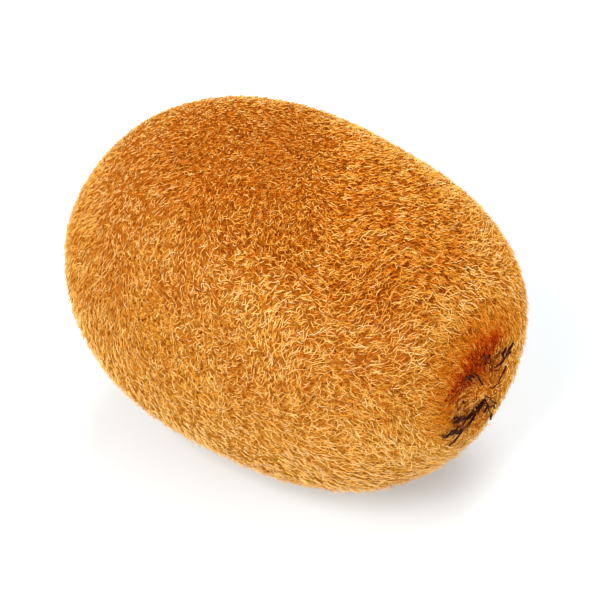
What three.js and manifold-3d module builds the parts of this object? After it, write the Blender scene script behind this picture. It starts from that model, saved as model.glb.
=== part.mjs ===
// A whole kiwi fruit lying on its side, in millimetres, +Z up. The fruit's long axis runs along X:
// the blossom end, with the dry styles of the flower, faces +X, and the scar of the stalk faces -X.
// The origin is the middle of the bounding box's underside, on the small flat spot that it rests on.
import * as THREE from "three";
import { mergeVertices } from "three/addons/utils/BufferGeometryUtils.js";
import Module from "manifold-3d";

const { smoothstep, degToRad, radToDeg, lerp } = THREE.MathUtils;

// The fruit's driving sizes
const LENGTH = 68;
const HEIGHT = 47;
const WIDTH = 50.5;
const BLOSSOM_POWER = 2.95; // a higher power makes a blunter end
const STALK_POWER = 2.1;
const FULLNESS = 2.2;
const TAPER = -0.045; // how much slimmer the blossom half is than the stalk half
const FLAT_SPOT_DEPTH = 0.28; // how deep the fruit's weight has pressed its underside flat

// Low swells that keep the skin from being a perfect oval: size, lobes round, waves along, turn
const SWELLS = [
  { size: 0.009, lobes: 2, waves: 1.2, turn: 0.7 },
  { size: 0.006, lobes: 3, waves: -2.1, turn: 2.4 },
  { size: 0.004, lobes: 5, waves: 3.3, turn: 4.1 },
];

// The pit in the blossom end, and the low nub that stands in it
const PIT_DEPTH = 1.9;
const PIT_FLOOR_RADIUS = 3.2;
const PIT_RIM_RADIUS = 8.6;
const NUB_HEIGHT = 1.3;
const NUB_TOP_RADIUS = 0.7;
const NUB_FOOT_RADIUS = 3.0;

// The dip in the stalk end, and the woody button left where the stalk came off
const DIP_DEPTH = 1.5;
const DIP_FLOOR_RADIUS = 3.0;
const DIP_RIM_RADIUS = 8.0;
const BUTTON_HEIGHT = 0.9;
const BUTTON_RADIUS = 2.5;
const BUTTON_EDGE = 0.5;
const BUTTON_HOLLOW = 0.5;
const BUTTON_HOLLOW_RADIUS = 1.7;

// The faceting of the skin
const SEGMENTS_ROUND = 72;
const PIT_RINGS = 14;
const SIDE_RINGS = 30;
const DIP_RINGS = 10;

// The dry styles: thin threads with a club-shaped tip, which stand on one dry ring round the nub
const RING_RADIUS = 3.6;
const RING_THICKNESS = 0.5;
const GAP = 0.3; // between the ring and the skin
const STYLE_GAP = 0.4; // between a style and the skin
const NECK_RADIUS = 0.11;
const CLUB_RADIUS = 0.18;
const CLUB_START = 0.6; // where the club begins and is full, as shares of the style's length
const CLUB_FULL = 0.92;
const CLUB_POINT = 1.06; // where the club's rounded end would close if it weren't cut off flat
const STYLE_SIDES = 5;
const STYLE_RINGS = 9;
const RING_SIDES = 6;
const RING_SEGMENTS = 36;
const SEED = 23;

// Tufts of styles, by where they stand on the ring and where their tips lie. Angles are in degrees
// round the fruit's axis, from +Y towards +Z, radii are from the axis, and lift is the rise midway.
const TUFTS = [
  { count: 9, roots: [-54, -108], tips: [-140, -172], radii: [4.4, 8.8], lift: 0.4 },
  { count: 4, roots: [-56, -80], tips: [-56, -82], radii: [5.6, 7.8], lift: 0.8 },
  { count: 3, roots: [4, 20], tips: [12, 36], radii: [5.6, 7.4], lift: 0.5 },
  { count: 1, roots: [-40, -37], tips: [-2, 2], radii: [5.4, 5.8], lift: 0.6 },
  { count: 1, roots: [107, 110], tips: [96, 104], radii: [1.2, 1.6], lift: 0.5 },
  { count: 2, roots: [112, 124], tips: [116, 128], radii: [4.4, 6.0], lift: 0.5 },
  { count: 2, roots: [48, 84], tips: [40, 92], radii: [4.6, 5.8], lift: 0.4 },
];
const TIP_STRAY = 5; // degrees
const WAVE = 0.14; // how far a style strays from its way, as a share of its turn
const REACH = 1.8; // above 1, a style goes outwards late on its way
const RISE_PEAK = 0.8; // below 1, a style is highest before its middle
const RISE_SHARES = [0.3, 1.5]; // the least and most of a tuft's lift that one style takes

const COLOURS = {
  skin: { color: 0xc98235, roughness: 0.92, metalness: 0 },
  dryStyle: { color: 0x3a1a0c, roughness: 0.7, metalness: 0 },
};

const WELD = 1e-4; // points closer than this are one point
const SMALL_ANGLE = 1e-9;

const wasm = await Module();
wasm.setup();

// A small seeded generator, so that every build places the styles alike.
function seededRandom(seed) {
  const [multiplier, increment, modulus] = [1664525, 1013904223, 2 ** 32];
  let state = seed;
  return () => {
    state = (state * multiplier + increment) % modulus;
    return state / modulus;
  };
}

function solidFrom(geometry) {
  const bare = geometry.clone();
  bare.deleteAttribute("normal");
  bare.deleteAttribute("uv");
  const merged = mergeVertices(bare, WELD);
  return new wasm.Manifold(
    new wasm.Mesh({
      numProp: 3,
      vertProperties: new Float32Array(merged.attributes.position.array),
      triVerts: new Uint32Array(merged.index.array),
    }),
  );
}

function geometryFrom(solid) {
  const mesh = solid.getMesh();
  const geometry = new THREE.BufferGeometry();
  geometry.setAttribute("position", new THREE.BufferAttribute(new Float32Array(mesh.vertProperties), 3));
  geometry.setIndex(new THREE.BufferAttribute(new Uint32Array(mesh.triVerts), 1));
  geometry.computeVertexNormals();
  return geometry;
}

// 1 inside the inner radius, falling smoothly to 0 at the outer one.
function fade(radius, inner, outer) {
  return 1 - smoothstep(radius, inner, outer);
}

// The plain body's radius at s, which runs from -1 at the stalk end to 1 at the blossom end.
function bodyRadius(s) {
  const power = s > 0 ? BLOSSOM_POWER : STALK_POWER;
  return (HEIGHT / 2) * (1 - Math.abs(s) ** power) ** (1 / FULLNESS) * (1 + TAPER * s);
}

// How far the skin lies inside the plain body's blossom end, at a radius from the axis.
function pitDepth(radius) {
  const pit = PIT_DEPTH * fade(radius, PIT_FLOOR_RADIUS, PIT_RIM_RADIUS);
  return pit - NUB_HEIGHT * fade(radius, NUB_TOP_RADIUS, NUB_FOOT_RADIUS);
}

// The same for the stalk end.
function dipDepth(radius) {
  const dip = DIP_DEPTH * fade(radius, DIP_FLOOR_RADIUS, DIP_RIM_RADIUS);
  const button = BUTTON_HEIGHT * fade(radius, BUTTON_RADIUS, BUTTON_RADIUS + BUTTON_EDGE);
  return dip - button + BUTTON_HOLLOW * fade(radius, 0, BUTTON_HOLLOW_RADIUS);
}

// The angle from the axis at which the plain body has a given radius, in one half of the fruit.
function angleAtRadius(radius, towardsBlossom) {
  let [low, high] = towardsBlossom ? [0, Math.PI / 2] : [Math.PI, Math.PI / 2];
  while (Math.abs(high - low) > SMALL_ANGLE) {
    const middle = (low + high) / 2;
    if (bodyRadius(Math.cos(middle)) < radius) low = middle;
    else high = middle;
  }
  return low;
}

// A point of the profile, as its radius and its place along the axis.
function profilePoint(angle) {
  const s = Math.cos(angle);
  const radius = bodyRadius(s);
  const inset = s > 0 ? -pitDepth(radius) : dipDepth(radius);
  return new THREE.Vector2(radius, (LENGTH / 2) * s + inset);
}

function fruitProfile() {
  const points = [];
  const pitEnd = angleAtRadius(PIT_RIM_RADIUS, true);
  const dipEnd = angleAtRadius(DIP_RIM_RADIUS, false);
  for (let i = 0; i < PIT_RINGS; i++)
    points.push(profilePoint(angleAtRadius((PIT_RIM_RADIUS * i) / PIT_RINGS, true)));
  for (let i = 0; i < SIDE_RINGS; i++) points.push(profilePoint(lerp(pitEnd, dipEnd, i / SIDE_RINGS)));
  for (let i = 0; i <= DIP_RINGS; i++)
    points.push(profilePoint(angleAtRadius(DIP_RIM_RADIUS * (1 - i / DIP_RINGS), false)));
  points[0].x = 0;
  points[points.length - 1].x = 0;
  return points.reverse();
}

// How much the skin swells out at a place along the fruit and an angle round it.
function swell(along, round) {
  let share = 1;
  for (const { size, lobes, waves, turn } of SWELLS)
    share += size * Math.sin(lobes * round + (waves * along) / (LENGTH / 2) + turn);
  return share;
}

// Turns the round body into the real one: wider than it is high, with its swells.
function shapeSkin(x, y, z) {
  const share = swell(x, Math.atan2(z, y));
  return [x, (y * share * WIDTH) / HEIGHT, z * share];
}

function makeFruit() {
  const skin = new THREE.LatheGeometry(fruitProfile(), SEGMENTS_ROUND);
  skin.rotateZ(-Math.PI / 2);
  const place = skin.attributes.position;
  for (let i = 0; i < place.count; i++)
    place.setXYZ(i, ...shapeSkin(place.getX(i), place.getY(i), place.getZ(i)));
  skin.computeBoundingBox();
  const underside = skin.boundingBox.min.z + FLAT_SPOT_DEPTH;
  const table = new THREE.BoxGeometry(2 * LENGTH, 2 * WIDTH, HEIGHT);
  table.translate(0, 0, underside - HEIGHT / 2);
  return { solid: solidFrom(skin).subtract(solidFrom(table)), underside };
}

// The skin's place along X at a radius from the axis, in the blossom end.
function pitFloor(radius) {
  return (LENGTH / 2) * Math.cos(angleAtRadius(radius, true)) - pitDepth(radius);
}

// A point above the blossom end: radius, angle round the axis in degrees, and height off the skin.
function abovePit(radius, degrees, height) {
  const angle = degToRad(degrees);
  const [x, y, z] = shapeSkin(pitFloor(radius), radius * Math.cos(angle), radius * Math.sin(angle));
  return new THREE.Vector3(x + height, y, z);
}

// The outline of one straight style, from its root up to its club-shaped tip.
function styleProfile(length) {
  const points = [new THREE.Vector2(0, 0)];
  for (let i = 0; i <= STYLE_RINGS; i++) {
    const u = i / STYLE_RINGS;
    const rounding = Math.sqrt(1 - smoothstep(u, CLUB_FULL, CLUB_POINT) ** 2);
    const club = smoothstep(u, CLUB_START, CLUB_FULL) * rounding;
    points.push(new THREE.Vector2(lerp(NECK_RADIUS, CLUB_RADIUS, club), length * u));
  }
  points.push(new THREE.Vector2(0, length));
  return points;
}

// Bends a straight piece that stands along Y so that it follows a curve.
function bendAlong(geometry, curve, length) {
  const place = geometry.attributes.position;
  const frames = curve.computeFrenetFrames(STYLE_RINGS, false);
  for (let i = 0; i < place.count; i++) {
    const k = Math.round((place.getY(i) / length) * STYLE_RINGS);
    const point = curve.getPointAt(k / STYLE_RINGS);
    point.addScaledVector(frames.binormals[k], place.getX(i));
    point.addScaledVector(frames.normals[k], place.getZ(i));
    place.setXYZ(i, point.x, point.y, point.z);
  }
  return geometry;
}

// One style, from its root on the ring to its tip. Its way out waves by a seeded amount.
function makeStyle(root, tip, tipRadius, lift, random) {
  const wave = lerp(-WAVE, WAVE, random()) * (tip - root);
  const rise = lift * lerp(...RISE_SHARES, random());
  const points = [];
  for (let i = 0; i < STYLE_RINGS; i++) {
    const u = i / (STYLE_RINGS - 1);
    const angle = lerp(root, tip, u) + wave * Math.sin(2 * Math.PI * u);
    const height = STYLE_GAP + CLUB_RADIUS + rise * Math.sin(Math.PI * u ** RISE_PEAK);
    points.push(abovePit(lerp(RING_RADIUS, tipRadius, u ** REACH), angle, height));
  }
  const curve = new THREE.CatmullRomCurve3(points);
  const length = curve.getLength();
  return solidFrom(bendAlong(new THREE.LatheGeometry(styleProfile(length), STYLE_SIDES), curve, length));
}

function makeRing() {
  const ring = new THREE.TorusGeometry(RING_RADIUS, RING_THICKNESS / 2, RING_SIDES, RING_SEGMENTS);
  const place = ring.attributes.position;
  for (let i = 0; i < place.count; i++) {
    const round = Math.atan2(place.getY(i), place.getX(i));
    const radius = Math.hypot(place.getX(i), place.getY(i));
    const floor = abovePit(RING_RADIUS, radToDeg(round), GAP + RING_THICKNESS / 2);
    const [, y, z] = shapeSkin(floor.x, radius * Math.cos(round), radius * Math.sin(round));
    place.setXYZ(i, floor.x + place.getZ(i), y, z);
  }
  return solidFrom(ring);
}

// Where styles cross they can shut in a tiny hollow. Its wall is an inside-out body, left out here.
function withoutHollows(solid) {
  return wasm.Manifold.compose(solid.decompose().filter((body) => body.volume() > 0));
}

function makeDryStyles() {
  const random = seededRandom(SEED);
  const parts = [makeRing()];
  for (const { count, roots, tips, radii, lift } of TUFTS)
    for (let i = 0; i < count; i++) {
      const root = lerp(...roots, (i + random()) / count);
      const tip = lerp(...tips, random()) + lerp(-TIP_STRAY / 2, TIP_STRAY / 2, random());
      parts.push(makeStyle(root, tip, lerp(...radii, random()), lift, random));
    }
  return withoutHollows(wasm.Manifold.union(parts));
}

function namedMesh(name, solid, look) {
  const mesh = new THREE.Mesh(geometryFrom(solid), new THREE.MeshStandardMaterial(look));
  mesh.name = name;
  return mesh;
}

const kiwi = new THREE.Group();
const fruit = makeFruit();
kiwi.add(namedMesh("fruit", fruit.solid, COLOURS.skin));
kiwi.add(namedMesh("dried_styles", makeDryStyles(), COLOURS.dryStyle));

// Stands the fruit on its flat spot, with the origin under the middle of its bounding box.
const bounds = new THREE.Box3().setFromObject(kiwi);
const middle = bounds.getCenter(new THREE.Vector3());
kiwi.position.set(-middle.x, -middle.y, -fruit.underside);

export default kiwi;
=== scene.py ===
"""A kiwi fruit lying on its side on a white floor, in metres, +Z up.

The fruit's long axis runs along X: the blossom end, with the dry styles of the flower, faces +X.
Lengths in the values and formulas below are in millimetres, and MM turns them to metres.
Angles round the axis run from +Y towards +Z, in radians unless their comment says degrees.
"""

import math

import bpy
import numpy as np
from mathutils import Matrix, Vector


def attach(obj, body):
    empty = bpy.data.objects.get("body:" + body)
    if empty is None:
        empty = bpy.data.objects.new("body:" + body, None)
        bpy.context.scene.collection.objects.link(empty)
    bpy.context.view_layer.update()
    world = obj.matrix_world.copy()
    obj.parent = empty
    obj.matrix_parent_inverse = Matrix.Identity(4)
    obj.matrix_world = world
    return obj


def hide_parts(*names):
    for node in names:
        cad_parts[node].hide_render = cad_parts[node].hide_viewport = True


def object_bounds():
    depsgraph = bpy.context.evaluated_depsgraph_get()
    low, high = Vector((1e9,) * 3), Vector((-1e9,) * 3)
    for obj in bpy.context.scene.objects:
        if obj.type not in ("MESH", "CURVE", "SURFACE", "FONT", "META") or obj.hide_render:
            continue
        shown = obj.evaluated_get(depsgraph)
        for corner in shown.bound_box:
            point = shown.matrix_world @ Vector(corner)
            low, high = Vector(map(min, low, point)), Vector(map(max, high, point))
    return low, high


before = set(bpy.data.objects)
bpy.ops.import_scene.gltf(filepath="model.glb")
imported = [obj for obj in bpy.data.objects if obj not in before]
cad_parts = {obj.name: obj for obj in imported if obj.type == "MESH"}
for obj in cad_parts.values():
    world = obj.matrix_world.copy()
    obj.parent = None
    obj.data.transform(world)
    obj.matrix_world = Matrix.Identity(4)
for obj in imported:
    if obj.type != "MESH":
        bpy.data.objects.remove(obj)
cad_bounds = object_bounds()

MM = 0.001

# The camera: its angles round the fruit, its distance, and how much of the scene it frames
CAMERA_AZIMUTH = 38.8
CAMERA_ELEVATION = 41.1
CAMERA_DISTANCE = 400 * MM
FRAMED_WIDTH = 84.3 * MM
CAMERA_RIGHT = 1.1 * MM  # how far the view is moved off the fruit's middle, to the right and up
CAMERA_UP = -1.6 * MM
SENSOR = 36.0
NEAREST_SEEN = 10 * MM

# The room: lights with their name, azimuth, elevation, size in metres and power in watts
LIGHTS = [
    ("key", -6, 42, 0.5, 9.6),
    ("fill", 98, 20, 0.6, 4.4),
    ("back", 206, 46, 0.5, 7.2),
]
LIGHT_DISTANCE = 900 * MM
FLOOR_HALF = 500 * MM
FLOOR_COLOUR = (0.65, 0.695, 0.72)
FLOOR_ROUGHNESS = 0.9
FLOOR_GLOW = 0.11
SKY_STRENGTHS = (1.0, 0.35)  # at the horizon and overhead

# The fruit's body, as in the solid model
AXIS_AT = (-0.289, -0.018, 23.083)
LENGTH = 68
HEIGHT = 47
WIDTH = 50.5
BLOSSOM_POWER = 2.95
STALK_POWER = 2.1
FULLNESS = 2.2
TAPER = -0.045
SWELLS = [(0.009, 2, 1.2, 0.7), (0.006, 3, -2.1, 2.4), (0.004, 5, 3.3, 4.1)]  # size, lobes, waves, turn

# The pit with its nub in the blossom end, and the dip with its woody button in the stalk end
PIT_DEPTH, PIT_FLOOR_RADIUS, PIT_RIM_RADIUS = 1.9, 3.2, 8.6
NUB_HEIGHT, NUB_TOP_RADIUS, NUB_FOOT_RADIUS = 1.3, 0.7, 3.0
DIP_DEPTH, DIP_FLOOR_RADIUS, DIP_RIM_RADIUS = 1.5, 3.0, 8.0
BUTTON_HEIGHT, BUTTON_RADIUS, BUTTON_EDGE = 0.9, 2.5, 0.5
BUTTON_HOLLOW, BUTTON_HOLLOW_RADIUS = 0.5, 1.7
BUTTON_RAGS = [(0.06, 3, 1.0), (0.03, 8, 0.0)]  # waves of the button's edge: size, lobes, turn
BUTTON_WEAR = 0.16  # the depth of the button's cracks
BUTTON_CRACKS = 5
BUTTON_GRAIN = 0.4  # the grain's share of that depth
WORN_FROM, WORN_TO = (0.4, 1.2), (2.4, 3.2)  # the radii where the wear begins and ends
FOLD_DEPTH = 0.16  # of the dry folds that run out from the nub
FOLDS_ROUND = 17
FOLDED_FROM, FOLDED_TO = (0.5, 2.0), (4.5, 7.5)  # the radii where the folds begin and end

# The skin's mesh
SKIN_RINGS = 160
SKIN_SEGMENTS = 160
RING_CROWDING = 0.7  # how much closer the rings lie towards the ends

# The skin's colours under the fuzz
SKIN_ROUGHNESS = 0.8
SKIN_COLOURS = {
    "plain": (0.42, 0.14, 0.022),
    # low: the skin paler below, as painted light; top: redder and darker on top, as painted shade
    "low": (0.46, 0.19, 0.020),
    "top": (0.33, 0.085, 0.005),
    "streak": (0.20, 0.045, 0.003),
    "speck": (0.12, 0.020, 0.002),
    "pit": (0.40, 0.095, 0.008),
    # the pit's upper side: its own deep red, darkened further as painted shade
    "pit_deep_red_and_painted_shade": (0.15, 0.012, 0.001),
    # the nub's own paler colour, made lighter still as painted light
    "nub": (0.40, 0.100, 0.012),
    "pore": (0.14, 0.018, 0.003),
    "dark_wood": (0.13, 0.070, 0.034),
    "pale_wood": (0.30, 0.185, 0.095),
    "core": (0.10, 0.05, 0.025),
}
WOBBLE = 3.0  # how far the edges of the coloured patches wander
TOP_PATCHES = 4.0  # how far the edge of the redder top rises and falls
PATCH_GRAIN, PATCH_EDGES = 90.0, (0.4, 0.62)  # noise waves in a metre, and the noise from low to high
TOP_HEIGHTS = (1.0, 18.0)  # above the axis, where the redder, darker top of painted shade begins and is full
STREAK_STRENGTH = 0.7
SHADE_HEIGHTS = (-0.2, 2.4)  # above the axis, where the pit's dark upper part of painted shade begins and is full
COLOUR_RADII = {  # where a colour begins and where it is full, from outside in
    "pit": (10.5, 6.0),
    "pit_deep_red_and_painted_shade": (9.6, 7.0),
    "nub": (4.4, 2.8),
    "button": (4.6, 4.2),
    "core": (1.5, 0.9),
}
BLOTCHES = {  # noise waves in a metre, the noise where blotches begin and are full, and its detail
    "streak": (1900.0, 0.42, 0.6, 2.0),
    "speck": (2600.0, 0.58, 0.7, 1.0),
    "pore": (900.0, 0.56, 0.66, 2.0),
    "wood": (1500.0, 0.4, 0.6, 3.0),
    "style": (1100.0, 0.50, 0.66, 3.0),
}
WOBBLE_GRAIN = 420.0
BUMP_GRAIN, BUMP_DETAIL = 1300.0, 4.0
BUMP_STRENGTH, BUMP_HEIGHT = 0.5, 0.15

# The dry styles, on the same lines as the solid model's and a little slimmer, and the ring they stand on
RING_RADIUS = 3.6
RING_THICKNESS = 0.5
RING_POINTS = 120
RING_LUMPS = [(0.22, 9, 1.0), (0.15, 23, 0.0)]  # size, lobes, turn
RING_WRINKLE = 0.12
RING_COLOUR = (0.20, 0.032, 0.006)
STYLE_GAP = 0.4
NECK_RADIUS = 0.085
CLUB_RADIUS = 0.150
CLUB_START, CLUB_FULL, CLUB_POINT = 0.6, 0.92, 1.06  # shares of the style's length
STYLE_SEED = 23
TUFTS = [  # count, roots and tips in degrees round the axis, the tips' radii, lift
    (9, (-54, -108), (-140, -172), (4.4, 8.8), 0.4),
    (4, (-56, -80), (-56, -82), (5.6, 7.8), 0.8),
    (3, (4, 20), (12, 36), (5.6, 7.4), 0.5),
    (1, (-40, -37), (-2, 2), (5.4, 5.8), 0.6),
    (1, (107, 110), (96, 104), (1.2, 1.6), 0.5),
    (2, (112, 124), (116, 128), (4.4, 6.0), 0.5),
    (2, (48, 84), (40, 92), (4.6, 5.8), 0.4),
]
TIP_STRAY = 5  # degrees
WAVE = 0.14
REACH = 1.8
RISE_PEAK = 0.8
RISE_SHARES = (0.3, 1.5)
CRINKLE = 0.13  # how far a long dry style wanders off its line
CRINKLE_SPAN = 1.9  # the length of one such wave
CRINKLE_SEED = 5
LONG_STYLE = 4.0  # shorter styles crinkle less
STYLE_WRINKLE = 0.14
STYLE_RINGS = 36
STYLE_SIDES = 9
STYLE_ROUGHNESS, STYLE_GLOSS = 0.6, 0.04
STYLE_COLOURS = {
    "plain": (0.046, 0.008, 0.004),
    "dark": (0.024, 0.005, 0.003),
    "brown": (0.12, 0.030, 0.010),
}

# The coats of hair, from the palest to the reddest in each length: name, colour, how many at most,
# rings of points, and whether long
COATS = [
    ("fuzz_pale", (0.98, 0.66, 0.26), 11500, 3, True),
    ("fuzz_straw", (0.94, 0.54, 0.125), 13000, 3, True),
    ("fuzz_gold", (0.82, 0.37, 0.048), 13500, 2, True),
    ("fuzz_amber", (0.69, 0.190, 0.008), 12500, 2, True),
    ("undercoat_gold", (0.68, 0.34, 0.048), 12500, 2, False),
    ("undercoat_amber", (0.42, 0.100, 0.004), 12500, 2, False),
    ("undercoat_rust", (0.20, 0.022, 0.001), 11000, 2, False),
]
LONG_HAIR = (1.0, 1.75)  # lengths, where the coat is shortest and where it is longest
SHORT_HAIR = (0.55, 1.05)
LENGTH_SPREAD = (0.7, 1.3)
LENGTH_SLOPES = (0.011, -0.006, -0.019)  # how the length changes per millimetre along x, y and z
SHORTER_AT_PIT, PIT_REACH = 0.4, (7.0, 14.0)  # the share that is missing, and radii where it fades
SHORTER_AT_STALK, STALK_REACH = 0.35, (3.0, 9.0)
SHORTER_ON_RIM = 0.2
LONG_HAIR_RADIUS = 0.060
SHORT_HAIR_RADIUS = 0.058
COAT_SEED = 7
PLACES_PER_HAIR = 9  # how many places are drawn for each hair of a coat
END_GAP = 0.012  # the angle kept free of hairs at both ends
FAR_OFF = 99.0

# Where each tone grows, with painted shade on top and painted light underneath
REDDEST_WAY = (0.16, -0.08, 0.984)  # the way that the skin faces where the coat is reddest and darkest, as painted shade
RED_EDGES = (0.74, 0.95)
RED_PATCHES = 0.12
BELT, SHOULDER = 0.25, 0.22  # how much redder and darker a belt round the fruit is, and the upper blossom end, as painted shade
BELT_START, BELT_END = (0.0, 0.25), (0.45, 0.65)  # how far the skin faces upwards there
SHOULDER_START, SHOULDER_SIDE = (12.0, 26.0), (-0.1, 0.3)  # along the fruit, and facing upwards
PALE_UNDER, UNDER_SIDE = 0.5, (-0.25, 0.15)  # how much paler the underside is, as painted light, and where it ends
LONG_TONES = (0.18, 0.58)  # the usual tone where the coat is palest and where it is reddest
SHORT_TONES = (0.12, 1.05)
LONG_GLOW, SHORT_GLOW = 0.35, -0.5  # how far the tones move in the glow round the pit; the paler short coat there is painted light
TONE_SPREAD = 0.42
THIN_ON_TOP = 0.2  # the share of long hairs missing where the coat is reddest
THIN_IN_PIT, THIN_PIT_RADII = 0.3, (5.2, 7.6)
BARE_BUTTON_RADII = (2.9, 3.6)
THIN_IN_SHADE = 0.85  # the share of all hairs missing where the pit's dark fuzz of painted shade grows
GLOW_WAY, GLOW_EDGES, GLOW_RADII = 2.0, (-0.4, 0.6), (8.5, 14.5)
RIM_WAY, RIM_EDGES, RIM_RADII = -0.3, (-0.2, 0.6), (10.0, 19.0)

# The shape of a single hair
HAIR_ROUGHNESS = 0.85
HAIR_SINK = 0.06
HAIR_STAND = (0.05, 0.55)  # how steeply hairs stand, from the flattest to the steepest
HAIR_RISE, HAIR_DROOP = 1.35, (0.2, 0.9)  # how they rise at the root and bend down towards the tip
HAIR_CURL = 1.6
HAIR_TAPER = 0.55
SWIRL_SIZE = 11.0  # the distance over which the lean of the coat changes
STRAY = 0.62  # how far single hairs turn off from the others
FLOOR_CLEARANCE = 0.12

# The dark red fuzz on the upper side of the pit, darker there as painted shade: name, colour, how many,
# and radii of its start and end
PIT_COATS = [
    ("pit_rust", (0.24, 0.013, 0.001), 1700, (3.0, 4.6), (7.4, 9.4)),
    ("pit_red", (0.62, 0.085, 0.004), 1900, (1.8, 3.2), (7.4, 11.0)),
]
PIT_SECTOR = (42, 68), (148, 172)  # degrees, where the fuzz starts and ends
SHADE_START, SHADE_END = (1.8, 3.2), (7.6, 10.2)  # radii of the dark part of painted shade as a whole
PIT_HAIR = (0.6, 1.1)
PIT_SEED = 14
PIT_PLACES_PER_HAIR = 200

# The fibres and the spots on the nub; its paler colour and its gold fibres are partly painted light
NUB_COATS = [  # name, colour, how many, and how much they keep to the nub's lower side
    ("nub_gold", (0.95, 0.46, 0.090), 560, 1.0),
    ("nub_brown", (0.52, 0.15, 0.018), 420, 0.0),
]
NUB_LOW_WAY, NUB_LOW_EDGES = math.radians(-145), (-0.3, 0.5)
NUB_RADII = (3.0, 5.2)  # where the fibres grow thinner, and where they end
NUB_BARE_IN_SHADE = 0.8
NUB_STRAY, NUB_SWIRL = 0.8, 0.25  # how far the fibres turn off singly, and with the whole coat
NUB_HAIR = (0.45, 1.0)
NUB_HAIR_RADIUS = 0.050
NUB_SEED = 16
NUB_PLACES_PER_HAIR = 500
NUB_SPOTS = [(2.5, -159), (1.6, -149)]  # radius, and degrees round the axis
NUB_SPOT_RADIUS = 0.85
SPOT_COAT = ("nub_spots", (0.12, 0.010, 0.002), 45, 0.26)  # name, colour, how many on each, their spread
SPOT_HAIR = (0.4, 0.7)
SPOT_SEED = 18


# Small formulas


def smoothstep(x, low, high):
    """0 below low, 1 above high, and a smooth rise between."""
    u = np.clip((x - low) / (high - low), 0.0, 1.0)
    return u * u * (3.0 - 2.0 * u)


def fade(radius, inner, outer):
    """1 inside the inner radius, falling smoothly to 0 at the outer one."""
    return 1.0 - smoothstep(radius, inner, outer)


def lerp(a, b, u):
    """The value at share u of the way from a to b."""
    return a + (b - a) * u


def unit(vectors):
    """The same directions, one long."""
    return vectors / np.maximum(np.linalg.norm(vectors, axis=-1, keepdims=True), 1e-9)


def ripples(around, terms):
    """Sine waves round the axis, each with its size, its number of lobes and its turn."""
    return sum(size * np.sin(lobes * around + turn) for size, lobes, turn in terms)


# The fruit's surface


def body_radius(s):
    """The plain body's radius at s, from -1 at the stalk end to 1 at the blossom end."""
    power = np.where(s > 0, BLOSSOM_POWER, STALK_POWER)
    base = np.clip(1.0 - np.abs(s) ** power, 0.0, 1.0)
    return (HEIGHT / 2) * base ** (1.0 / FULLNESS) * (1.0 + TAPER * s)


def pit_depth(radius):
    """The pit in the blossom end, with the nub that rises in it."""
    pit = PIT_DEPTH * fade(radius, PIT_FLOOR_RADIUS, PIT_RIM_RADIUS)
    return pit - NUB_HEIGHT * fade(radius, NUB_TOP_RADIUS, NUB_FOOT_RADIUS)


def dip_depth(radius, around):
    """The dip and its button, whose edge is ragged and whose face has radial cracks."""
    dip = DIP_DEPTH * fade(radius, DIP_FLOOR_RADIUS, DIP_RIM_RADIUS)
    ragged = radius * (1.0 + ripples(around, BUTTON_RAGS))
    button = BUTTON_HEIGHT * fade(ragged, BUTTON_RADIUS, BUTTON_RADIUS + BUTTON_EDGE)
    cracks = np.maximum(np.cos(BUTTON_CRACKS * around + 0.9 * np.sin(3 * around)), 0.0) ** 6
    wear = cracks + BUTTON_GRAIN * np.sin(11 * around + 2.0 * radius)
    worn = smoothstep(radius, *WORN_FROM) * fade(radius, *WORN_TO)
    hollow = BUTTON_HOLLOW * fade(radius, 0.0, BUTTON_HOLLOW_RADIUS)
    return dip - button + hollow + BUTTON_WEAR * wear * worn


def swell(along, around):
    """The share by which the low swells widen the fruit."""
    share = 1.0
    for size, lobes, waves, turn in SWELLS:
        share = share + size * np.sin(lobes * around + waves * along / (LENGTH / 2) + turn)
    return share


def shape_skin(x, y, z):
    """Turns the round body into the real one, and moves it to its place over the floor."""
    share = swell(x, np.arctan2(z, y))
    return np.stack([x + AXIS_AT[0], y * share * WIDTH / HEIGHT + AXIS_AT[1], z * share + AXIS_AT[2]], -1)


def folds(radius, around):
    """The dry folds that run out from the nub, and its puckers."""
    ring = smoothstep(radius, *FOLDED_FROM) * fade(radius, *FOLDED_TO)
    wander = 1.7 * np.sin(2 * around + 0.8 * radius)
    ridge = np.sin(FOLDS_ROUND * around + wander + 0.6 * radius) + 0.6 * np.sin(7 * around - 1.3 * radius)
    return FOLD_DEPTH * ring * ridge


def skin(angle, around):
    """Points of the skin. The angle runs from 0 at the blossom end to pi at the stalk."""
    s = np.cos(angle)
    radius = body_radius(s)
    inset = np.where(s > 0, -pit_depth(radius) + folds(radius, around), dip_depth(radius, around))
    points = shape_skin((LENGTH / 2) * s + inset, radius * np.cos(around), radius * np.sin(around))
    points[..., 2] = np.maximum(points[..., 2], 0.0)
    return points


def pit_floor(radius):
    """How far along the axis the pit's surface lies at a radius, before its folds."""
    angle = np.linspace(0.0, math.pi / 2, 4000)
    at = np.interp(radius, body_radius(np.cos(angle)), angle)
    return (LENGTH / 2) * np.cos(at) - pit_depth(radius)


def above_pit(radius, degrees, height):
    """Points at a height over the pit's surface."""
    turn = np.radians(degrees)
    points = shape_skin(pit_floor(radius), radius * np.cos(turn), radius * np.sin(turn))
    points[..., 0] += height
    return points


# Meshes and materials


def add_mesh(name, points_mm, faces, material):
    """A smooth-shaded object made of points in millimetres and triangles."""
    mesh = bpy.data.meshes.new(name)
    mesh.from_pydata((points_mm * MM).tolist(), [], faces.tolist())
    mesh.update()
    mesh.polygons.foreach_set("use_smooth", np.ones(len(mesh.polygons), dtype=bool))
    mesh.materials.append(material)
    piece = bpy.data.objects.new(name, mesh)
    bpy.context.scene.collection.objects.link(piece)
    return piece


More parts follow.
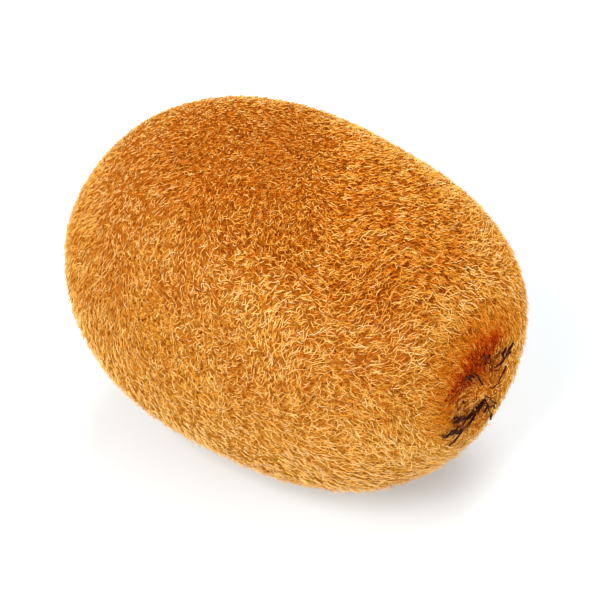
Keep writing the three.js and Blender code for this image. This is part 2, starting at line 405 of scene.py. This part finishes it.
def plain_material(name, colour, roughness, gloss=0.0):
    """A material of one colour."""
    material = bpy.data.materials.new(name)
    material.use_nodes = True
    shader = material.node_tree.nodes["Principled BSDF"]
    shader.inputs["Base Color"].default_value = rgba(colour)
    shader.inputs["Roughness"].default_value = roughness
    shader.inputs["Specular IOR Level"].default_value = gloss
    return material


def rgba(colour):
    """An opaque colour, as the sockets take it."""
    return (*colour, 1.0)


class Nodes:
    """Short ways to add shader nodes to one material or to the world."""

    def __init__(self, owner):
        self.tree = owner.node_tree

    def add(self, kind, **values):
        node = self.tree.nodes.new(kind)
        for key, value in values.items():
            setattr(node, key, value)
        return node

    def put(self, node, socket, value):
        """Sets a socket to a value, or links it where the value is another socket."""
        if isinstance(value, bpy.types.NodeSocket):
            self.tree.links.new(value, node.inputs[socket])
        else:
            node.inputs[socket].default_value = value

    def place(self, kind="Object"):
        """The place of the shaded point, in metres."""
        return self.add("ShaderNodeTexCoord").outputs[kind]

    def split(self, place):
        """The three parts of a place."""
        node = self.add("ShaderNodeSeparateXYZ")
        self.put(node, 0, place)
        return node.outputs

    def math(self, operation, a, b=0.0):
        node = self.add("ShaderNodeMath", operation=operation)
        self.put(node, 0, a)
        self.put(node, 1, b)
        return node.outputs[0]

    def ramp(self, value, low, high, to_low=0.0, to_high=1.0):
        """A smooth change from to_low where the value is at low to to_high where it is at high."""
        node = self.add("ShaderNodeMapRange", interpolation_type="SMOOTHSTEP")
        self.put(node, "Value", value)
        self.put(node, "From Min", low)
        self.put(node, "From Max", high)
        self.put(node, "To Min", to_low)
        self.put(node, "To Max", to_high)
        return node.outputs["Result"]

    def noise(self, place, scale, detail=3.0):
        node = self.add("ShaderNodeTexNoise")
        self.put(node, "Vector", place)
        self.put(node, "Scale", scale)
        self.put(node, "Detail", detail)
        return node.outputs["Fac"]

    def blotches(self, place, name):
        """Soft blotches of one kind: 1 inside them, and 0 between them."""
        scale, low, high, detail = BLOTCHES[name]
        return self.ramp(self.noise(place, scale, detail), low, high)

    def within(self, radius, name):
        """1 where one of the skin's round colours is full, and 0 outside it."""
        outer, inner = COLOUR_RADII[name]
        return self.ramp(radius, outer * MM, inner * MM)

    def mix(self, share, a, b):
        """Colour a, turning to colour b as the share goes from 0 to 1."""
        node = self.add("ShaderNodeMix", data_type="RGBA")
        self.put(node, 0, share)
        self.put(node, 6, a)
        self.put(node, 7, b)
        return node.outputs[2]

    def paint(self, share, colour, name):
        """Puts one of the skin's colours over a colour."""
        return self.mix(share, colour, rgba(SKIN_COLOURS[name]))


def body_colour(nodes, place, up):
    """Orange-brown skin, redder and darker on top with patches as painted shade, with dark streaks and
    specks.
    """
    grain = nodes.noise(place, PATCH_GRAIN)
    patches = nodes.ramp(grain, *PATCH_EDGES, -TOP_PATCHES * MM, TOP_PATCHES * MM)
    top = nodes.ramp(nodes.math("ADD", up, patches), TOP_HEIGHTS[0] * MM, TOP_HEIGHTS[1] * MM)
    colour = nodes.paint(top, rgba(SKIN_COLOURS["low"]), "top")
    streaks = nodes.math("MULTIPLY", nodes.blotches(place, "streak"), STREAK_STRENGTH)
    colour = nodes.paint(streaks, colour, "streak")
    return nodes.paint(nodes.blotches(place, "speck"), colour, "speck")


def pit_colour(nodes, colour, place, along, up, from_axis):
    """The redder pit, darkest in its upper part as painted shade, and the nub with its pores."""
    blossom = nodes.math("GREATER_THAN", along, 0.0)
    pit = nodes.math("MULTIPLY", blossom, nodes.within(from_axis, "pit"))
    colour = nodes.paint(pit, colour, "pit")
    upper = nodes.ramp(up, SHADE_HEIGHTS[0] * MM, SHADE_HEIGHTS[1] * MM)
    shade = nodes.math("MULTIPLY", nodes.within(from_axis, "pit_deep_red_and_painted_shade"), upper)
    shade = nodes.math("MULTIPLY", blossom, shade)
    colour = nodes.paint(shade, colour, "pit_deep_red_and_painted_shade")
    nub = nodes.math("MULTIPLY", blossom, nodes.within(from_axis, "nub"))
    colour = nodes.paint(nub, colour, "nub")
    pores = nodes.math("MULTIPLY", nub, nodes.blotches(place, "pore"))
    return nodes.paint(pores, colour, "pore")


def stalk_colour(nodes, colour, place, along, from_axis, ragged):
    """The woody, mottled button in the stalk end, with its dark core."""
    stalk = nodes.math("LESS_THAN", along, 0.0)
    button = nodes.math("MULTIPLY", stalk, nodes.within(ragged, "button"))
    wood = nodes.paint(nodes.blotches(place, "wood"), rgba(SKIN_COLOURS["dark_wood"]), "pale_wood")
    colour = nodes.mix(button, colour, wood)
    core = nodes.math("MULTIPLY", stalk, nodes.within(from_axis, "core"))
    return nodes.paint(core, colour, "core")


def skin_material():
    """The skin under the fuzz, with its own colours in the pit, on the nub and on the button."""
    material = plain_material("kiwi_skin", SKIN_COLOURS["plain"], SKIN_ROUGHNESS)
    nodes = Nodes(material)
    place = nodes.place()
    along, across, up = nodes.split(place)
    across = nodes.math("SUBTRACT", across, AXIS_AT[1] * MM)
    up = nodes.math("SUBTRACT", up, AXIS_AT[2] * MM)
    squares = nodes.math("ADD", nodes.math("MULTIPLY", across, across), nodes.math("MULTIPLY", up, up))
    from_axis = nodes.math("SQRT", squares)
    wobble = nodes.math("MULTIPLY", nodes.noise(place, WOBBLE_GRAIN), WOBBLE * MM)
    ragged = nodes.math("ADD", from_axis, wobble)

    colour = body_colour(nodes, place, up)
    colour = pit_colour(nodes, colour, place, along, up, ragged)
    colour = stalk_colour(nodes, colour, place, along, from_axis, ragged)

    shader = material.node_tree.nodes["Principled BSDF"]
    nodes.put(shader, "Base Color", colour)
    bump = nodes.add("ShaderNodeBump")
    nodes.put(bump, "Strength", BUMP_STRENGTH)
    nodes.put(bump, "Distance", BUMP_HEIGHT * MM)
    nodes.put(bump, "Height", nodes.noise(place, BUMP_GRAIN, BUMP_DETAIL))
    nodes.put(shader, "Normal", bump.outputs["Normal"])
    return material


def style_material():
    """Dry styles: near black, with browner stretches."""
    material = plain_material("dry_style", STYLE_COLOURS["plain"], STYLE_ROUGHNESS, STYLE_GLOSS)
    nodes = Nodes(material)
    brown = nodes.blotches(nodes.place(), "style")
    colour = nodes.mix(brown, rgba(STYLE_COLOURS["dark"]), rgba(STYLE_COLOURS["brown"]))
    nodes.put(material.node_tree.nodes["Principled BSDF"], "Base Color", colour)
    return material


def ring_material():
    """The dull red-brown of the dry ring."""
    return plain_material("dry_ring", RING_COLOUR, SKIN_ROUGHNESS)


def hair_material(name, colour):
    """Dull hairs of one colour."""
    return plain_material(name, colour, HAIR_ROUGHNESS)


def floor_material():
    """White that glows a little."""
    material = plain_material("white_floor", FLOOR_COLOUR, FLOOR_ROUGHNESS)
    shader = material.node_tree.nodes["Principled BSDF"]
    shader.inputs["Emission Color"].default_value = (1, 1, 1, 1)
    shader.inputs["Emission Strength"].default_value = FLOOR_GLOW
    return material


# The skin


def make_skin():
    """The whole skin as one closed mesh: rings along the fruit and a point at each end."""
    share = np.linspace(0.0, 1.0, SKIN_RINGS + 1)[1:-1]
    angle = math.pi * lerp(share, (1.0 - np.cos(math.pi * share)) / 2, RING_CROWDING)
    around = np.linspace(0.0, 2 * math.pi, SKIN_SEGMENTS, endpoint=False)
    grid = skin(angle[:, None], around[None, :]).reshape(-1, 3)
    poles = skin(np.array([0.0, math.pi]), np.zeros(2))
    rows, columns = SKIN_RINGS - 1, SKIN_SEGMENTS
    i, j = np.meshgrid(np.arange(rows - 1), np.arange(columns), indexing="ij")
    here, beside = i * columns + j, i * columns + (j + 1) % columns
    quads = np.stack([here, beside, beside + columns, here + columns], -1).reshape(-1, 4)
    sides = np.concatenate([quads[:, [0, 2, 1]], quads[:, [0, 3, 2]]])
    j = np.arange(columns)
    first = np.stack([j, (j + 1) % columns, np.full(columns, rows * columns)], -1)
    last = (rows - 1) * columns
    end = np.stack([last + (j + 1) % columns, last + j, np.full(columns, rows * columns + 1)], -1)
    points = np.concatenate([grid, poles])
    piece = add_mesh("skin", points, np.concatenate([sides, first, end]), skin_material())
    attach(piece, "root")
    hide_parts("fruit")


# Where the hairs grow


def scatter(count, random):
    """Seeded places on the skin, even by area: points, normals, and the ways to the blossom end."""
    angle = np.linspace(END_GAP, math.pi - END_GAP, 400)
    middle = 0.5 * (angle[1:] + angle[:-1])
    meridian = 0.3
    ring = skin(middle, meridian)
    step = np.linalg.norm(skin(angle[1:], meridian) - skin(angle[:-1], meridian), axis=-1)
    girth = axis_radius(ring)
    share = np.concatenate([[0.0], np.cumsum(step * girth)])
    at = np.interp(random.random(count) * share[-1], share, angle)
    around = random.random(count) * 2 * math.pi
    tiny = 1e-3
    points = skin(at, around)
    forward = unit(skin(at - tiny, around) - skin(at + tiny, around))
    sideways = unit(skin(at, around + tiny) - skin(at, around - tiny))
    normals = unit(np.cross(sideways, forward))
    outward = points - np.array([0.0, AXIS_AT[1], AXIS_AT[2]])
    normals *= np.sign(np.sum(normals * outward, axis=-1, keepdims=True))
    return points, normals, forward


def first_kept(places, kept, count):
    """The first of the places that are kept, count of them where there are so many."""
    return [part[kept][:count] for part in places]


def turn_of(points):
    """The angle round the axis."""
    return np.arctan2(points[:, 2] - AXIS_AT[2], points[:, 1] - AXIS_AT[1])


def facing(points, way, edges):
    """1 on the side of the axis that lies towards an angle, falling to 0 on the other side."""
    return smoothstep(np.cos(turn_of(points) - way), *edges)


def axis_radius(points):
    """The distance from the axis."""
    return np.hypot(points[:, 1] - AXIS_AT[1], points[:, 2] - AXIS_AT[2])


def blossom_radius(points):
    """The distance from the axis in the blossom half, and a long way off in the stalk half."""
    return np.where(points[:, 0] > 0, axis_radius(points), FAR_OFF)


def stalk_radius(points):
    """The distance from the axis in the stalk half, and a long way off in the blossom half."""
    return np.where(points[:, 0] < 0, axis_radius(points), FAR_OFF)


def rim_share(points):
    """How far a place lies on the far and lower rim of the pit, from 0 to 1."""
    return facing(points, RIM_WAY, RIM_EDGES) * fade(blossom_radius(points), *RIM_RADII)


def pit_glow(points):
    """How far a place lies in the red fuzz round the upper side of the pit, from 0 to 1, where the short
    coat is paler as painted light.
    """
    return fade(blossom_radius(points), *GLOW_RADII) * facing(points, GLOW_WAY, GLOW_EDGES)


def pit_deep_red_and_painted_shade(points, start=SHADE_START, end=SHADE_END):
    """How far a place lies in the dark red part of the pit, its upper side, darkened there as painted
    shade, from 0 to 1.
    """
    around = np.degrees(turn_of(points))
    sector = smoothstep(around, *PIT_SECTOR[0]) * fade(around, *PIT_SECTOR[1])
    radius = blossom_radius(points)
    return sector * smoothstep(radius, *start) * fade(radius, *end)


def warmth_and_painted_shading(points, normals):
    """How red the coat is: most on top and round the upper side of the pit, least underneath. The darker
    top, belt and upper blossom end are painted shade, the paler underside painted light.
    """
    top = smoothstep(normals @ np.array(REDDEST_WAY), *RED_EDGES)
    x, y, z = points.T
    patches = RED_PATCHES * np.sin(0.35 * x + 0.21 * z) * np.sin(0.33 * y + 0.14 * x + 1.0)
    upward = normals[:, 2]
    belt = BELT * smoothstep(upward, *BELT_START) * fade(upward, *BELT_END)
    underside = PALE_UNDER * fade(upward, *UNDER_SIDE)
    shoulder = SHOULDER * smoothstep(x, *SHOULDER_START) * smoothstep(upward, *SHOULDER_SIDE)
    return np.clip(top + pit_glow(points) + patches + belt + shoulder - underside, -PALE_UNDER, 1.0)


def choose_tone(points, normals, tone, long_hair, random):
    """Which places take a coat of this tone, from 0 for the palest to 1 for the reddest."""
    middle = lerp(*(LONG_TONES if long_hair else SHORT_TONES), warmth_and_painted_shading(points, normals))
    middle += (LONG_GLOW if long_hair else SHORT_GLOW) * pit_glow(points)
    weight = np.exp(-(((tone - middle) / TONE_SPREAD) ** 2))
    if long_hair:
        weight *= 1.0 - THIN_ON_TOP * warmth_and_painted_shading(points, normals)
    return random.random(len(points)) < weight * (1.0 - THIN_IN_SHADE * pit_deep_red_and_painted_shade(points))


def keep_hair(points, long_hair, random):
    """Which places grow a hair: none on the flat spot or the button, and fewer long ones in the pit."""
    share = np.where(points[:, 2] < FLOOR_CLEARANCE, 0.0, 1.0)
    if long_hair:
        share *= 1.0 - THIN_IN_PIT * fade(blossom_radius(points), *THIN_PIT_RADII)
    share *= 1.0 - fade(stalk_radius(points), *BARE_BUTTON_RADII)
    return random.random(len(points)) < share


def length_share(points):
    """How long the coat is, from 0 to 1: shortest on top near the stalk, longest low near the blossom."""
    x, y, z = points.T
    share = 0.5 + LENGTH_SLOPES[0] * x + LENGTH_SLOPES[2] * (z - AXIS_AT[2]) + LENGTH_SLOPES[1] * y
    share += 0.10 * np.sin(0.31 * x + 0.23 * y) * np.sin(0.27 * z + 0.19 * x)
    return np.clip(share, 0.0, 1.0)


# The hairs


def flow(points, normals, forward, random, wild):
    """The way the hairs lean: towards the blossom end, swirling slowly over the skin, with stray ones."""
    side = unit(np.cross(normals, forward))
    x, y, z = (points / SWIRL_SIZE).T
    swirl = 0.5 + 1.1 * np.sin(0.9 * x + 1.3 * np.sin(0.8 * z + 0.5))
    swirl = swirl + 0.8 * np.sin(1.1 * y - 0.7 * z + 1.9)
    swirl = swirl + 0.5 * np.sin(3.1 * x + 2.3 * y + 2.7 * z) + random.normal(0.0, STRAY, len(points))
    swirl = swirl * wild
    return forward * np.cos(swirl)[:, None] + side * np.sin(swirl)[:, None]


def hair_faces(count, rings):
    """The triangles of three-sided hairs that have some rings of points and then a tip."""
    size = 3 * rings + 1
    faces = []
    for ring in range(rings - 1):
        for k in range(3):
            a, b = 3 * ring + k, 3 * ring + (k + 1) % 3
            faces += [(a, b, b + 3), (a, b + 3, a + 3)]
    last = 3 * (rings - 1)
    faces += [(last + k, last + (k + 1) % 3, size - 1) for k in range(3)]
    return (np.arange(count)[:, None, None] * size + np.array(faces)[None]).reshape(-1, 3)


def hair_points(roots, normals, ways, lengths, radius, rings, random):
    """Points of curved, tapering hairs, one block per hair."""
    count = len(roots)
    side = np.cross(normals, ways)
    stand = random.uniform(*HAIR_STAND, (count, 1))
    curl = random.normal(0.0, 1.0, (count, 1))
    droop = random.uniform(*HAIR_DROOP, (count, 1))
    place = roots - normals * HAIR_SINK
    step = lengths[:, None] / rings
    blocks = []
    for k in range(rings):
        u = k / rings
        rise = stand * (HAIR_RISE - 2.0 * droop * u)
        heading = unit(ways + normals * rise + side * curl * (u - 0.25) * HAIR_CURL)
        a = unit(np.cross(heading, normals))
        b = np.cross(a, heading)
        width = radius * (1.0 - HAIR_TAPER * u * u)
        for corner in range(3):
            turn = corner * 2 * math.pi / 3
            blocks.append(place + width * (a * math.cos(turn) + b * math.sin(turn)))
        place = place + heading * step
    blocks.append(place)
    points = np.stack(blocks, axis=1).reshape(-1, 3)
    points[:, 2] = np.maximum(points[:, 2], FLOOR_CLEARANCE / 2)
    return points


def add_hairs(name, colour, places, lengths, radius, rings, random, wild=1.0):
    """One coat as a piece. wild is how much of the coat's swirl its hairs take part in."""
    points, normals, forward = places
    ways = flow(points, normals, forward, random, wild)
    hairs = hair_points(points, normals, ways, lengths, radius, rings, random)
    faces = hair_faces(len(points), rings)
    piece = add_mesh(name, hairs, faces, hair_material(name, colour))
    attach(piece, "root")


def make_coat(index, name, colour, count, rings, long_hair):
    """One coat of fuzz or undercoat on the whole skin."""
    random = np.random.default_rng(COAT_SEED + index)
    alike = [coat[0] for coat in COATS if coat[4] == long_hair]
    tone = alike.index(name) / (len(alike) - 1)
    places = scatter(PLACES_PER_HAIR * count, random)
    points, normals = places[:2]
    kept = choose_tone(points, normals, tone, long_hair, random) & keep_hair(points, long_hair, random)
    places = first_kept(places, kept, count)
    points = places[0]
    span = LONG_HAIR if long_hair else SHORT_HAIR
    lengths = lerp(*span, length_share(points)) * random.uniform(*LENGTH_SPREAD, len(points))
    lengths *= 1.0 - SHORTER_AT_PIT * fade(blossom_radius(points), *PIT_REACH)
    lengths *= 1.0 - SHORTER_ON_RIM * rim_share(points)
    lengths *= 1.0 - SHORTER_AT_STALK * fade(stalk_radius(points), *STALK_REACH)
    radius = LONG_HAIR_RADIUS if long_hair else SHORT_HAIR_RADIUS
    add_hairs(name, colour, places, lengths, radius, rings, random)


def make_pit_coat(index, name, colour, count, start, end):
    """Short dark fuzz on the upper side of the pit, put there as painted shade."""
    random = np.random.default_rng(PIT_SEED + index)
    places = scatter(PIT_PLACES_PER_HAIR * count, random)
    kept = random.random(len(places[0])) < pit_deep_red_and_painted_shade(places[0], start, end)
    places = first_kept(places, kept, count)
    lengths = random.uniform(*PIT_HAIR, len(places[0]))
    add_hairs(name, colour, places, lengths, SHORT_HAIR_RADIUS, 2, random)


def nub_share(points, sided):
    """How likely a fibre grows on the nub and the folds round it, bare on its spots."""
    share = fade(blossom_radius(points), *NUB_RADII) * (1.0 - NUB_BARE_IN_SHADE * pit_deep_red_and_painted_shade(points))
    share *= lerp(1.0, facing(points, NUB_LOW_WAY, NUB_LOW_EDGES), sided)
    for radius, degrees in NUB_SPOTS:
        spot = above_pit(np.array(radius), degrees, 0.0)
        distance = np.linalg.norm(points - spot, axis=-1)
        share *= smoothstep(distance, 0.5 * NUB_SPOT_RADIUS, NUB_SPOT_RADIUS)
    return share


def make_nub_coat(index, name, colour, count, sided):
    """Thin fibres on the nub that lean outwards."""
    random = np.random.default_rng(NUB_SEED + index)
    places = scatter(NUB_PLACES_PER_HAIR * count, random)
    kept = random.random(len(places[0])) < nub_share(places[0], sided)
    points, normals, forward = first_kept(places, kept, count)
    lengths = random.uniform(*NUB_HAIR, len(points))
    outwards = unit(-forward + random.normal(0.0, NUB_STRAY, forward.shape))
    outwards = unit(outwards - normals * np.sum(outwards * normals, axis=-1, keepdims=True))
    places = points, normals, outwards
    add_hairs(name, colour, places, lengths, NUB_HAIR_RADIUS, 3, random, wild=NUB_SWIRL)


def make_nub_spots(name, colour, count, spread):
    """Dark tufts that stand on the nub's spots."""
    random = np.random.default_rng(SPOT_SEED)
    tufts = []
    for radius, degrees in NUB_SPOTS:
        off, turn = random.normal(0.0, spread, (2, count))
        tufts.append(above_pit(radius + off, degrees + np.degrees(turn / radius), 0.0))
    points = np.concatenate(tufts)
    normals = np.tile((1.0, 0.0, 0.0), (len(points), 1))
    ways = unit(random.normal(0.0, 1.0, points.shape) * np.array((0.0, 1.0, 1.0)) + normals)
    lengths = random.uniform(*SPOT_HAIR, len(points))
    add_hairs(name, colour, (points, normals, ways), lengths, SHORT_HAIR_RADIUS, 2, random)


# The dry styles


def seeded(seed):
    """The same small generator as the solid model's, so that the styles stand alike."""
    state = seed
    while True:
        state = (state * 1664525 + 1013904223) % 2**32
        yield state / 2**32


def style_radius(u):
    """The radius of a style at share u of its length: a slim neck and a club at the tip."""
    rounding = np.sqrt(np.clip(1.0 - smoothstep(u, CLUB_FULL, CLUB_POINT) ** 2, 0.0, 1.0))
    return lerp(NECK_RADIUS, CLUB_RADIUS, smoothstep(u, CLUB_START, CLUB_FULL) * rounding)


def tube(line, radii, wrinkle, closed=False):
    """Points and triangles of a tube along a line, wrinkled lengthwise like something dry."""
    count, sides = len(line), STYLE_SIDES
    if closed:
        heading = unit(np.roll(line, -1, axis=0) - np.roll(line, 1, axis=0))
    else:
        heading = unit(np.gradient(line, axis=0))
    a = unit(np.cross(heading, np.array([0.93, 0.31, 0.17])))
    b = np.cross(a, heading)
    turn = np.linspace(0, 2 * math.pi, sides, endpoint=False)
    rough = 1.0 + wrinkle * np.sin(3 * turn[None, :] + 9.0 * np.linspace(0, 1, count)[:, None])
    width = (radii[:, None] * rough)[..., None]
    ring = a[:, None] * np.cos(turn)[None, :, None] + b[:, None] * np.sin(turn)[None, :, None]
    points = (line[:, None] + width * ring).reshape(-1, 3)
    rows = count if closed else count - 1
    i, j = np.meshgrid(np.arange(rows), np.arange(sides), indexing="ij")
    here, beside = i * sides + j, i * sides + (j + 1) % sides
    up_here, up_beside = (i + 1) % count * sides + j, (i + 1) % count * sides + (j + 1) % sides
    right_half = np.stack([here, up_beside, beside], -1).reshape(-1, 3)
    left_half = np.stack([here, up_here, up_beside], -1).reshape(-1, 3)
    faces = np.concatenate([right_half, left_half])
    if not closed:
        tip = line[-1] + heading[-1] * radii[-1] * 0.6
        last = (count - 1) * sides
        k = np.arange(sides)
        cap = np.stack([last + k, np.full(sides, len(points)), last + (k + 1) % sides], -1)
        points = np.concatenate([points, tip[None]])
        faces = np.concatenate([faces, cap])
    return points, faces


def make_ring():
    """The thin, lumpy dry ring round the nub."""
    degrees = np.linspace(0, 360, RING_POINTS, endpoint=False)
    line = above_pit(np.full(RING_POINTS, RING_RADIUS), degrees, 0.0)
    lumps = 1.0 + ripples(np.radians(degrees), RING_LUMPS)
    points, faces = tube(line, RING_THICKNESS / 2 * lumps, RING_WRINKLE, closed=True)
    return add_mesh("style_ring", points, faces, ring_material())


def style_line(tuft, index, draws, phases):
    """The middle line of one dry style, from its root on the ring to its tip."""
    count, roots, tips, radii, lift = tuft
    root = lerp(*roots, (index + next(draws)) / count)
    tip = lerp(*tips, next(draws)) + lerp(-TIP_STRAY / 2, TIP_STRAY / 2, next(draws))
    tip_radius = lerp(*radii, next(draws))
    wave = lerp(-WAVE, WAVE, next(draws)) * (tip - root)
    rise = lift * lerp(*RISE_SHARES, next(draws))
    u = np.linspace(0, 1, STYLE_RINGS)
    turn = lerp(root, tip, u) + wave * np.sin(2 * math.pi * u)
    radius = lerp(RING_RADIUS, tip_radius, u**REACH)
    height = STYLE_GAP + CLUB_RADIUS + rise * np.sin(math.pi * u**RISE_PEAK)
    length = math.hypot(tip_radius - RING_RADIUS, math.radians(tip - root) * tip_radius)
    crinkles = 2 * math.pi * length / CRINKLE_SPAN * u
    wander = CRINKLE * min(length / LONG_STYLE, 1.0) * smoothstep(u, 0.0, 0.3)
    turn_phase, radius_phase = phases.uniform(0.0, 2 * math.pi, 2)
    turn = turn + np.degrees(wander * np.sin(crinkles + turn_phase) / radius)
    radius = radius + wander * np.sin(crinkles + radius_phase)
    return above_pit(radius, turn, height)


def join(parts):
    """Several tubes put together: their points, and their triangles renumbered."""
    points, faces, offset = [], [], 0
    for part_points, part_faces in parts:
        points.append(part_points)
        faces.append(part_faces + offset)
        offset += len(part_points)
    return np.concatenate(points), np.concatenate(faces)


def make_styles():
    """The ring and the styles that stand on it."""
    ring = make_ring()
    draws = seeded(STYLE_SEED)
    phases = np.random.default_rng(CRINKLE_SEED)
    radii = style_radius(np.linspace(0, 1, STYLE_RINGS))
    parts = []
    for tuft in TUFTS:
        for index in range(tuft[0]):
            parts.append(tube(style_line(tuft, index, draws, phases), radii, STYLE_WRINKLE))
    points, faces = join(parts)
    styles = add_mesh("styles", points, faces, style_material())
    for piece in (styles, ring):
        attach(piece, "root")
        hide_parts("dried_styles")


# The stage


def way_back(azimuth, elevation):
    """The direction from the fruit to something that looks at it, from angles in degrees."""
    a, e = math.radians(azimuth), math.radians(elevation)
    return Vector((math.sin(a) * math.cos(e), -math.cos(a) * math.cos(e), math.sin(e)))


def add_floor():
    """A plain white floor."""
    mesh = bpy.data.meshes.new("floor")
    corners = [(-1, -1), (1, -1), (1, 1), (-1, 1)]
    mesh.from_pydata([(x * FLOOR_HALF, y * FLOOR_HALF, 0) for x, y in corners], [], [(0, 1, 2, 3)])
    mesh.materials.append(floor_material())
    floor = bpy.data.objects.new("floor", mesh)
    bpy.context.scene.collection.objects.link(floor)


def add_light(name, azimuth, elevation, size, power):
    """A soft square light that faces the fruit."""
    light = bpy.data.lights.new(name, "AREA")
    light.energy = power
    light.size = size
    lamp = bpy.data.objects.new(name, light)
    back = way_back(azimuth, elevation)
    lamp.location = back * LIGHT_DISTANCE + Vector((0, 0, AXIS_AT[2] * MM))
    lamp.rotation_euler = back.to_track_quat("Z", "Y").to_euler()
    bpy.context.scene.collection.objects.link(lamp)


def add_world():
    """A white room, brightest at the horizon."""
    world = bpy.data.worlds.new("white_room")
    world.use_nodes = True
    nodes = Nodes(world)
    up = nodes.split(nodes.place("Generated"))[2]
    background = world.node_tree.nodes["Background"]
    nodes.put(background, "Color", (1, 1, 1, 1))
    nodes.put(background, "Strength", nodes.ramp(up, 0.0, 1.0, *SKY_STRENGTHS))
    bpy.context.scene.world = world


def add_camera():
    """A long lens that looks at the fruit from the photograph's side."""
    data = bpy.data.cameras.new("camera")
    data.sensor_width = SENSOR
    data.lens = SENSOR * CAMERA_DISTANCE / FRAMED_WIDTH
    data.clip_start = NEAREST_SEEN
    camera = bpy.data.objects.new("camera", data)
    back = way_back(CAMERA_AZIMUTH, CAMERA_ELEVATION)
    a = math.radians(CAMERA_AZIMUTH)
    right = Vector((math.cos(a), math.sin(a), 0))
    up = back.cross(right)
    low, high = Vector(cad_bounds[0]), Vector(cad_bounds[1])
    target = (low + high) / 2 + right * CAMERA_RIGHT + up * CAMERA_UP
    turned = Matrix((right, up, back)).transposed().to_4x4()
    camera.matrix_world = Matrix.Translation(target + back * CAMERA_DISTANCE) @ turned
    bpy.context.scene.collection.objects.link(camera)
    bpy.context.scene.camera = camera


add_camera()
make_skin()
for index, coat in enumerate(COATS):
    make_coat(index, *coat)
for index, coat in enumerate(PIT_COATS):
    make_pit_coat(index, *coat)
for index, coat in enumerate(NUB_COATS):
    make_nub_coat(index, *coat)
make_nub_spots(*SPOT_COAT)
make_styles()

add_floor()
add_world()
for light in LIGHTS:
    add_light(*light)
bpy.context.scene.view_settings.view_transform = "Standard"
